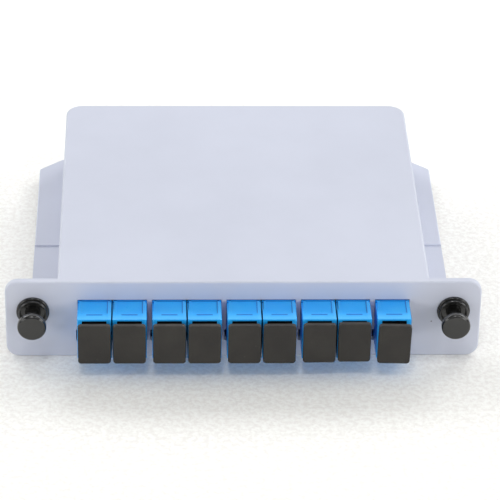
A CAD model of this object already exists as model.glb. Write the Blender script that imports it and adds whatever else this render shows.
import math

import bmesh
import bpy
from mathutils import Matrix, Vector


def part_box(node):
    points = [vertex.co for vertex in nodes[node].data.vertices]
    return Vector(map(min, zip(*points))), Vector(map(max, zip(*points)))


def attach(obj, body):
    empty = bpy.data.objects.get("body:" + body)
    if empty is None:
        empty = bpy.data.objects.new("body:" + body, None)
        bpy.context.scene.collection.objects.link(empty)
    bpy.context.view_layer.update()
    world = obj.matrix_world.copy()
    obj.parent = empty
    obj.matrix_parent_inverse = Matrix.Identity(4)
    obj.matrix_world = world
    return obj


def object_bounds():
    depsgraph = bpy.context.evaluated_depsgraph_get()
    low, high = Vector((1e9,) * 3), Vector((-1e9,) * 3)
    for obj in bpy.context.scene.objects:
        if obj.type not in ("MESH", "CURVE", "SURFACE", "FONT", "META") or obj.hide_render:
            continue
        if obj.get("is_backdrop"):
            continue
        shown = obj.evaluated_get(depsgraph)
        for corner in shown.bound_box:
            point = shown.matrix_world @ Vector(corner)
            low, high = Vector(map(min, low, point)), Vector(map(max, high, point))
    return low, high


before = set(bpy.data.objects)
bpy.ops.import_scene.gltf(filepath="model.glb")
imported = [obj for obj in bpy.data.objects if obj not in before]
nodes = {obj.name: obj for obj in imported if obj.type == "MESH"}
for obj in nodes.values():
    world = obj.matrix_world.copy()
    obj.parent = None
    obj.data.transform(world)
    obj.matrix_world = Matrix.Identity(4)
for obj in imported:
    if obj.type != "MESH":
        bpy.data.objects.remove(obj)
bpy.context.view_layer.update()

# Looks for the plug-in splitter cassette: finishes for every moulded, rubber, metal and fibre
# piece, a few fine pieces that the frame leaves plain, and a pale studio. Metres, +Z up.

MM = 0.001


def colour(red, green, blue):
    """Linear colour from a display colour whose channels run from 0 to 255."""
    def channel(value):
        share = value / 255
        return share / 12.92 if share <= 0.04045 else ((share + 0.055) / 1.055) ** 2.4
    return (channel(red), channel(green), channel(blue), 1.0)


def numbered(stem):
    """The CAD nodes that share a name and a number, in the order of their numbers."""
    found = [name for name in nodes if name.rsplit("_", 1)[0] == stem and name[-1].isdigit()]
    return sorted(found, key=lambda name: int(name.rsplit("_", 1)[1]))


# ---- Node building ------------------------------------------------------------------------------
def new_group(name, inputs, outputs):
    """A shader node group and its two ends: inputs (name, type, default), outputs (name, type)."""
    group = bpy.data.node_groups.new(name, "ShaderNodeTree")
    for label, kind, default in inputs:
        socket = group.interface.new_socket(label, in_out="INPUT", socket_type=kind)
        socket.default_value = default
    for label, kind in outputs:
        group.interface.new_socket(label, in_out="OUTPUT", socket_type=kind)
    return group, group.nodes.new("NodeGroupInput"), group.nodes.new("NodeGroupOutput")


def feed(tree, target, value):
    """Links a socket to another socket's input, or sets a plain value on it."""
    if isinstance(value, bpy.types.NodeSocket):
        tree.links.new(value, target)
    else:
        target.default_value = value


def add_node(tree, kind, settings=None, **inputs):
    """A node with its settings and inputs; an input's name has _ where the socket's has a space."""
    node = tree.nodes.new(kind)
    for name, value in (settings or {}).items():
        setattr(node, name, value)
    for name, value in inputs.items():
        feed(tree, node.inputs[name.replace("_", " ")], value)
    return node


def math_node(tree, operation, first, second=0.0, clamp=False):
    node = tree.nodes.new("ShaderNodeMath")
    node.operation = operation
    node.use_clamp = clamp
    feed(tree, node.inputs[0], first)
    feed(tree, node.inputs[1], second)
    return node.outputs[0]


def span(tree, value, low, high, new_low=0.0, new_high=1.0):
    """Value carried smoothly from the span low..high to new_low..new_high."""
    node = tree.nodes.new("ShaderNodeMapRange")
    node.interpolation_type = "SMOOTHSTEP"
    for index, item in enumerate((value, low, high, new_low, new_high)):
        feed(tree, node.inputs[index], item)
    return node.outputs[0]


def blend_colours(tree, share, first, second):
    node = tree.nodes.new("ShaderNodeMix")
    node.data_type = "RGBA"
    feed(tree, node.inputs["Factor"], share)
    feed(tree, node.inputs["A"], first)
    feed(tree, node.inputs["B"], second)
    return node.outputs["Result"]


def noise(tree, where, scale, detail=2.0, roughness=0.5):
    node = add_node(tree, "ShaderNodeTexNoise", Vector=where, Scale=scale, Detail=detail,
                    Roughness=roughness)
    return node.outputs["Fac"]


def object_place(tree):
    return tree.nodes.new("ShaderNodeTexCoord").outputs["Object"]


# ---- Effects that several finishes share --------------------------------------------------------
def moulded_skin_group():
    """Fine spark-eroded grain over slow waves of shrinkage, as a normal, with a drifting tone."""
    tree, start, end = new_group("moulded_skin", [
        ("Grain Size", "NodeSocketFloat", 2600.0), ("Grain Depth", "NodeSocketFloat", 0.08),
        ("Wave Size", "NodeSocketFloat", 60.0), ("Wave Depth", "NodeSocketFloat", 0.1)],
        [("Normal", "NodeSocketVector"), ("Tone", "NodeSocketFloat"), ("Grain", "NodeSocketFloat")])
    place = object_place(tree)
    grain = noise(tree, place, start.outputs["Grain Size"], 3.0, 0.6)
    wave = noise(tree, place, start.outputs["Wave Size"], 1.0, 0.4)
    tone = noise(tree, place, start.outputs["Wave Size"], 3.0, 0.55)
    broad = add_node(tree, "ShaderNodeBump", Strength=start.outputs["Wave Depth"],
                     Distance=0.4 * MM, Height=wave)
    fine = add_node(tree, "ShaderNodeBump", Strength=start.outputs["Grain Depth"],
                    Distance=0.05 * MM, Height=grain, Normal=broad.outputs["Normal"])
    tree.links.new(fine.outputs["Normal"], end.inputs["Normal"])
    tree.links.new(tone, end.inputs["Tone"])
    tree.links.new(grain, end.inputs["Grain"])
    return tree


def edge_mask_group():
    """How near a surface point is to an outer or inner edge: 1 on the edge, 0 on open faces."""
    tree, start, end = new_group("edge_mask", [
        ("Radius", "NodeSocketFloat", 0.4 * MM), ("Break Up", "NodeSocketFloat", 0.5)],
        [("Edge", "NodeSocketFloat")])
    rounded = add_node(tree, "ShaderNodeBevel", {"samples": 6}, Radius=start.outputs["Radius"])
    plain = tree.nodes.new("ShaderNodeNewGeometry")
    facing = tree.nodes.new("ShaderNodeVectorMath")
    facing.operation = "DOT_PRODUCT"
    tree.links.new(rounded.outputs["Normal"], facing.inputs[0])
    tree.links.new(plain.outputs["Normal"], facing.inputs[1])
    turned = span(tree, facing.outputs["Value"], 0.995, 0.82)
    worn = noise(tree, object_place(tree), 900.0, 3.0, 0.6)
    spots = span(tree, worn, 0.35, 0.6, 0.3, 1.0)
    broken = math_node(tree, "MULTIPLY", turned, spots)
    kept = add_node(tree, "ShaderNodeMix", Factor=start.outputs["Break Up"])
    feed(tree, kept.inputs["A"], turned)
    feed(tree, kept.inputs["B"], broken)
    tree.links.new(kept.outputs["Result"], end.inputs["Edge"])
    return tree


def facing_axes(tree):
    """The surface's normal, split into its three axes."""
    facing = tree.nodes.new("ShaderNodeSeparateXYZ")
    tree.links.new(tree.nodes.new("ShaderNodeNewGeometry").outputs["Normal"], facing.inputs[0])
    return facing.outputs


def dust_group():
    """Sparse specks and a thin film of dust, more of it on faces that look up."""
    tree, start, end = new_group("dust", [
        ("Amount", "NodeSocketFloat", 0.5), ("Speck Size", "NodeSocketFloat", 700.0)],
        [("Speck", "NodeSocketFloat"), ("Film", "NodeSocketFloat")])
    place = object_place(tree)
    cells = add_node(tree, "ShaderNodeTexVoronoi", Vector=place, Scale=start.outputs["Speck Size"])
    speck = span(tree, cells.outputs["Distance"], 0.2, 0.1)
    scatter = span(tree, noise(tree, place, 330.0, 2.0, 0.6), 0.6, 0.7)
    lying = span(tree, facing_axes(tree)["Z"], 0.0, 0.9, 0.25, 1.0)
    amount = math_node(tree, "MULTIPLY", start.outputs["Amount"], lying)
    specks = math_node(tree, "MULTIPLY", math_node(tree, "MULTIPLY", speck, scatter), amount)
    cloud = span(tree, noise(tree, place, 140.0, 4.0, 0.65), 0.4, 0.75)
    film = math_node(tree, "MULTIPLY", cloud, amount)
    tree.links.new(specks, end.inputs["Speck"])
    tree.links.new(film, end.inputs["Film"])
    return tree


def band(tree, value, middle, half, soft):
    """1 within half of the middle, falling to 0 over the soft width outside it."""
    away = math_node(tree, "ABSOLUTE", math_node(tree, "SUBTRACT", value, middle))
    return span(tree, away, half + soft, half)


def adapter_row_group():
    """Masks that repeat on every adapter: the dark lines along the top pad's side and the panel,
    the bare front and side strip, and the shaded faces between the two adapters of a pair."""
    labels = ("Groove", "Strip", "Between")
    tree, _, end = new_group("adapter_row", [], [(label, "NodeSocketFloat") for label in labels])
    place = tree.nodes.new("ShaderNodeSeparateXYZ")
    tree.links.new(object_place(tree), place.inputs[0])
    facing = facing_axes(tree)
    along = math_node(tree, "SUBTRACT", place.outputs["X"], row_left - side_margin)
    in_pair = math_node(tree, "MODULO", along, pair_pitch)
    second = math_node(tree, "GREATER_THAN", in_pair, adapter_step)
    across = math_node(tree, "SUBTRACT", in_pair, math_node(tree, "MULTIPLY", second, adapter_step))
    across = math_node(tree, "SUBTRACT", across, adapter_width / 2 + side_margin)
    up = span(tree, facing["Z"], 0.6, 0.8)
    on_pad = span(tree, place.outputs["Y"], pad_front - pad_end_soft, pad_front + pad_end_soft)
    line = band(tree, across, pad_half, groove_half, groove_soft)
    groove = math_node(tree, "MULTIPLY", math_node(tree, "MULTIPLY", line, on_pad), up)
    outside = span(tree, across, pad_half, pad_half + strip_soft)
    before = span(tree, place.outputs["Y"], pad_front, pad_front - strip_fade)
    strip = math_node(tree, "MULTIPLY", math_node(tree, "MAXIMUM", outside, before), up)
    inward = math_node(tree, "SUBTRACT", math_node(tree, "MULTIPLY", second, -2.0), -1.0)
    between = span(tree, math_node(tree, "MULTIPLY", facing["X"], inward), 0.5, 0.8)
    at_panel = span(tree, place.outputs["Y"], panel_front - rear_line_start,
                    panel_front - rear_line_full)
    rear = math_node(tree, "MULTIPLY", up, at_panel)
    tree.links.new(math_node(tree, "MAXIMUM", groove, rear), end.inputs["Groove"])
    tree.links.new(strip, end.inputs["Strip"])
    tree.links.new(between, end.inputs["Between"])
    return tree


# The adapters' row, read from the frame: where it starts and its steps.
first_low, first_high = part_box("adapter_body_1")
row_left = first_low[0]
adapter_width = first_high[0] - first_low[0]
adapter_half_height = 6.4 * MM
adapter_top = (first_low[2] + first_high[2]) / 2 + adapter_half_height
adapter_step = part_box("adapter_body_2")[0][0] - row_left
pair_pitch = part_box("adapter_body_3")[0][0] - row_left
# Each adapter's span starts in the middle of a gap, so that no face lies on a span's end.
side_margin = (adapter_step - adapter_width) / 2
panel_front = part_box("housing")[0][1]
# The top pads' outline, and the widths of the lines and the strip around it.
pad_half = 3.5 * MM
pad_front = panel_front - 6.5 * MM
pad_end_soft = 0.05 * MM
groove_half = 0.06 * MM
groove_soft = 0.12 * MM
strip_soft = 0.2 * MM
strip_fade = 2.4 * MM
rear_line_start = 0.55 * MM
rear_line_full = 0.25 * MM

# The plain bar on each adapter's front strip.
mark_size = (4.4 * MM, 0.5 * MM, 0.14 * MM)
mark_bevel = 0.04 * MM
mark_from_panel = 7.2 * MM

# The dark speck on the panel.
speck_place = (51.6 * MM, panel_front, 11.2 * MM)
speck_outer = 0.3 * MM
speck_inner = 0.12 * MM

SKIN = moulded_skin_group()
EDGES = edge_mask_group()
DUST = dust_group()
ADAPTER_ROW = adapter_row_group()


def place_group(tree, group, **inputs):
    node = tree.nodes.new("ShaderNodeGroup")
    node.node_tree = group
    for name, value in inputs.items():
        feed(tree, node.inputs[name.replace("_", " ")], value)
    return node


# ---- Finishes -----------------------------------------------------------------------------------
def new_finish(name, **settings):
    """A material with its shader; settings are plain values for the shader's own sockets."""
    material = bpy.data.materials.new(name)
    material.use_nodes = True
    tree = material.node_tree
    shader = tree.nodes["Principled BSDF"]
    for label, value in settings.items():
        shader.inputs[label.replace("_", " ")].default_value = value
    return material, tree, shader


def moulded_finish(name, body, shade, edge, roughness, grain=(2600.0, 0.08), wave=(60.0, 0.1),
                   edge_share=0.5, edge_radius=0.4 * MM, dust=0.2, dust_colour=(190, 188, 184),
                   speck_size=700.0, **settings):
    """Moulded plastic or rubber: a drifting tone, fine grain, lighter edges and a little dust."""
    material, tree, shader = new_finish(name, **settings)
    skin = place_group(tree, SKIN, Grain_Size=grain[0], Grain_Depth=grain[1], Wave_Size=wave[0],
                       Wave_Depth=wave[1])
    rim = place_group(tree, EDGES, Radius=edge_radius)
    dirt = place_group(tree, DUST, Amount=dust, Speck_Size=speck_size)
    drift = span(tree, skin.outputs["Tone"], 0.3, 0.7)
    base = blend_colours(tree, drift, colour(*shade), colour(*body))
    rim_share = math_node(tree, "MULTIPLY", rim.outputs["Edge"], edge_share)
    base = blend_colours(tree, rim_share, base, colour(*edge))
    film = math_node(tree, "MULTIPLY", dirt.outputs["Film"], 0.25)
    base = blend_colours(tree, film, base, colour(*dust_colour))
    base = blend_colours(tree, dirt.outputs["Speck"], base, colour(*dust_colour))
    feed(tree, shader.inputs["Base Color"], base)
    rough = span(tree, skin.outputs["Grain"], 0.25, 0.75, roughness[0], roughness[1])
    dulled = math_node(tree, "MULTIPLY", dirt.outputs["Film"], 0.2)
    rough = math_node(tree, "ADD", rough, dulled, True)
    feed(tree, shader.inputs["Roughness"], rough)
    feed(tree, shader.inputs["Normal"], skin.outputs["Normal"])
    return material


def tint(tree, shader, share, shade):
    """Blends the base colour that a finish already has towards a shade."""
    socket = shader.inputs["Base Color"]
    plain = socket.links[0].from_socket
    feed(tree, socket, blend_colours(tree, share, plain, colour(*shade)))


def shell_plastic():
    """Satin blue grey, with one dark speck moulded into the panel."""
    material = moulded_finish("shell_plastic", (201, 205, 219), (197, 201, 215), (214, 218, 232),
                              (0.42, 0.56), grain=(2400.0, 0.05), wave=(28.0, 0.12), dust=0.08,
                              dust_colour=(150, 148, 146))
    tree = material.node_tree
    shader = tree.nodes["Principled BSDF"]
    away = tree.nodes.new("ShaderNodeVectorMath")
    away.operation = "DISTANCE"
    tree.links.new(object_place(tree), away.inputs[0])
    away.inputs[1].default_value = speck_place
    speck = span(tree, away.outputs["Value"], speck_outer, speck_inner)
    tint(tree, shader, math_node(tree, "MULTIPLY", speck, 0.75), (70, 58, 60))
    return material


def adapter_plastic():
    """Glossy blue with dark lines by the pads, a paler bare strip and shade between each pair."""
    material = moulded_finish("adapter_plastic", (38, 176, 255), (30, 168, 255), (84, 190, 255),
                              (0.26, 0.4), grain=(3200.0, 0.04), wave=(120.0, 0.08),
                              edge_share=0.45, dust=0.1)
    tree = material.node_tree
    shader = tree.nodes["Principled BSDF"]
    row = place_group(tree, ADAPTER_ROW)
    tint(tree, shader, math_node(tree, "MULTIPLY", row.outputs["Strip"], 0.3), (92, 194, 255))
    tint(tree, shader, math_node(tree, "MULTIPLY", row.outputs["Groove"], 0.75), (6, 84, 180))
    tint(tree, shader, math_node(tree, "MULTIPLY", row.outputs["Between"], 0.85), (4, 34, 70))
    return material


def mark_plastic():
    return moulded_finish("mark_plastic", (10, 122, 215), (6, 112, 205), (30, 150, 235), (0.4, 0.5),
                          grain=(3200.0, 0.04), dust=0.05)


def cap_rubber():
    return moulded_finish("cap_rubber", (49, 47, 44), (43, 41, 39), (60, 54, 46), (0.52, 0.64),
                          grain=(3000.0, 0.16), wave=(110.0, 0.1), edge_share=0.4, dust=0.25,
                          dust_colour=(170, 160, 146), Specular_IOR_Level=0.35)


def latch_plastic():
    return moulded_finish("latch_plastic", (24, 24, 23), (18, 18, 17), (48, 47, 45), (0.17, 0.26),
                          grain=(3400.0, 0.06), wave=(160.0, 0.1), edge_share=0.4, dust=0.2,
                          Specular_IOR_Level=0.7)


def holder_plastic():
    return moulded_finish("holder_plastic", (232, 232, 226), (222, 221, 214), (245, 245, 240),
                          (0.35, 0.5), dust=0.02)


def connector_plastic():
    return moulded_finish("connector_plastic", (24, 104, 200), (18, 92, 184), (70, 150, 230),
                          (0.3, 0.45), grain=(3000.0, 0.05), dust=0.02)


def boot_rubber():
    return moulded_finish("boot_rubber", (26, 98, 188), (20, 86, 170), (60, 130, 210),
                          (0.5, 0.65), grain=(3000.0, 0.12), dust=0.02)


def fibre_jacket():
    return moulded_finish("fibre_jacket", (236, 234, 226), (226, 224, 214), (244, 243, 238),
                          (0.38, 0.5), grain=(4000.0, 0.05), dust=0.01)


def ceramic():
    return moulded_finish("ceramic", (240, 238, 232), (232, 229, 221), (248, 247, 243),
                          (0.12, 0.2), grain=(5000.0, 0.01), dust=0.0)


def metal_finish(name, bright, dull, roughness, line_size):
    """Bare metal with fine lines along its length and duller patches."""
    material, tree, shader = new_finish(name, Metallic=1.0)
    place = object_place(tree)
    lined = tree.nodes.new("ShaderNodeMapping")
    lined.inputs["Scale"].default_value = (0.06, 1.0, 1.0)
    tree.links.new(place, lined.inputs["Vector"])
    lines = noise(tree, lined.outputs["Vector"], line_size, 3.0, 0.65)
    patches = noise(tree, place, 160.0, 3.0, 0.55)
    base = blend_colours(tree, span(tree, patches, 0.35, 0.7), colour(*dull), colour(*bright))
    feed(tree, shader.inputs["Base Color"], base)
    feed(tree, shader.inputs["Roughness"], span(tree, lines, 0.25, 0.75, *roughness))
    bump = add_node(tree, "ShaderNodeBump", Strength=0.15, Distance=0.02 * MM, Height=lines)
    feed(tree, shader.inputs["Normal"], bump.outputs["Normal"])
    return material


# ---- Finishes given to the frame's pieces -------------------------------------------------------
def coat(names, material):
    for name in names:
        nodes[name].data.materials.clear()
        nodes[name].data.materials.append(material)


coat(["housing", "base_tray"], shell_plastic())
coat(numbered("adapter_body"), adapter_plastic())
coat(numbered("dust_cap"), cap_rubber())
coat([name for name in nodes if name.startswith("latch_")], latch_plastic())
coat(["base_screws"],
     metal_finish("screw_steel", (196, 197, 200), (150, 151, 155), (0.28, 0.42), 2200.0))
coat(numbered("sleeve_holder"), holder_plastic())
coat(["split_sleeves", "ferrules"], ceramic())
coat(numbered("rear_connector"), connector_plastic())
coat(["connector_boots"], boot_rubber())
coat(numbered("fibre_lead") + ["fibre_coil", "input_fibre", "output_ribbon"], fibre_jacket())
coat(["splitter_module"],
     metal_finish("module_metal", (205, 206, 208), (176, 177, 181), (0.3, 0.45), 1800.0))


# ---- Fine pieces --------------------------------------------------------------------------------
def adapter_mark(number, middle_x, top):
    """A plain low bar moulded across the front strip of an adapter's top."""
    bar = bmesh.new()
    bmesh.ops.create_cube(bar, size=1.0)
    bmesh.ops.scale(bar, vec=mark_size, verts=bar.verts)
    bmesh.ops.bevel(bar, geom=bar.edges, offset=mark_bevel, segments=2, profile=0.5,
                    affect="EDGES", material=-1)
    bmesh.ops.translate(bar, vec=(middle_x, panel_front - mark_from_panel, top), verts=bar.verts)
    mesh = bpy.data.meshes.new("adapter_mark_%d" % number)
    bar.to_mesh(mesh)
    bar.free()
    piece = bpy.data.objects.new(mesh.name, mesh)
    bpy.context.scene.collection.objects.link(piece)
    return piece


mark_finish = mark_plastic()
for name in numbered("adapter_body"):
    low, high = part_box(name)
    mark = adapter_mark(int(name.rsplit("_", 1)[1]), (low[0] + high[0]) / 2, adapter_top)
    mark.data.materials.append(mark_finish)
    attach(mark, "cassette")


# ---- Studio -------------------------------------------------------------------------------------
def floor_finish():
    """Pale matt card with a fine tooth."""
    material, tree, shader = new_finish("floor_card", Specular_IOR_Level=0.2)
    place = object_place(tree)
    tooth = noise(tree, place, 700.0, 3.0, 0.7)
    pale = span(tree, tooth, 0.35, 0.65)
    base = blend_colours(tree, pale, colour(242, 240, 236), colour(255, 255, 251))
    feed(tree, shader.inputs["Base Color"], base)
    feed(tree, shader.inputs["Roughness"], span(tree, tooth, 0.3, 0.7, 0.8, 0.95))
    bump = add_node(tree, "ShaderNodeBump", Strength=0.35, Distance=0.4 * MM, Height=tooth)
    feed(tree, shader.inputs["Normal"], bump.outputs["Normal"])
    return material


floor_half = 3.0
camera_place = Vector((-0.02367, -0.70426, 0.43692))
camera_target = Vector((0.00143, -0.04989, 0.03416))
camera_roll = math.radians(1.088)
camera_lens = 205.14


def floor_sheet():
    """The floor that the cassette lies on."""
    sheet = bmesh.new()
    bmesh.ops.create_grid(sheet, x_segments=1, y_segments=1, size=floor_half)
    mesh = bpy.data.meshes.new("floor")
    sheet.to_mesh(mesh)
    sheet.free()
    floor = bpy.data.objects.new("floor", mesh)
    bpy.context.scene.collection.objects.link(floor)
    mesh.materials.append(floor_finish())
    floor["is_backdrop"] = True


def looking(place, target, roll=0.0):
    """World matrix of a camera or light at place that looks at target, rolled about its view."""
    back = (place - target).normalized()
    right = Vector((0, 0, 1)).cross(back).normalized()
    up = back.cross(right)
    turned_right = math.cos(roll) * right + math.sin(roll) * up
    turned_up = math.cos(roll) * up - math.sin(roll) * right
    matrix = Matrix((turned_right, turned_up, back)).transposed().to_4x4()
    matrix.translation = place
    return matrix


def soft_box(name, place, size, power):
    """A flat rectangular light that looks at the cassette."""
    lamp = bpy.data.lights.new(name, "AREA")
    lamp.shape = "RECTANGLE"
    lamp.size, lamp.size_y = size
    lamp.energy = power
    holder = bpy.data.objects.new(name, lamp)
    holder.matrix_world = looking(Vector(place), Vector())
    bpy.context.scene.collection.objects.link(holder)


def pale_world(strength):
    world = bpy.data.worlds.new("pale_room")
    world.use_nodes = True
    sky = world.node_tree.nodes["Background"]
    sky.inputs["Color"].default_value = (0.96, 0.98, 1.0, 1.0)
    sky.inputs["Strength"].default_value = strength
    bpy.context.scene.world = world


def camera():
    lens = bpy.data.cameras.new("camera")
    lens.sensor_width = 36.0
    lens.lens = camera_lens
    lens.clip_start, lens.clip_end = 0.05, 20.0
    holder = bpy.data.objects.new("camera", lens)
    holder.matrix_world = looking(camera_place, camera_target, camera_roll)
    bpy.context.scene.collection.objects.link(holder)
    bpy.context.scene.camera = holder


floor_sheet()
pale_world(0.08)
# Each light: its name, place, width and height, and power in watts.
for light in (
    ("overhead", (0.0, 0.1, 1.1), (0.6, 0.5), 1.1),
    ("back_left", (-0.7, 0.8, 0.7), (0.6, 0.5), 6.2),
    ("back_right", (0.7, 0.8, 0.7), (0.6, 0.5), 5.5),
    ("back_near", (0.0, 0.4, 0.45), (0.4, 0.25), 0.4),
    ("side_left", (-1.3, 0.1, 0.6), (0.7, 0.6), 4.6),
    ("side_right", (1.3, 0.1, 0.6), (0.7, 0.6), 7.0),
    ("front_wide", (0.0, -1.0, 0.9), (1.2, 0.6), 2.1),
    ("front_middle", (-0.1, -0.65, 1.15), (0.14, 0.14), 2.0),
    ("front_right", (0.6, -0.6, 1.1), (0.14, 0.14), 1.8),
    ("low_left", (-1.1, -1.2, 0.4), (0.7, 0.5), 5.0),
    ("low_right", (1.1, -1.2, 0.4), (0.7, 0.5), 6.2),
):
    soft_box(*light)
camera()
bpy.context.scene.view_settings.view_transform = "Standard"

low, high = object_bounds()
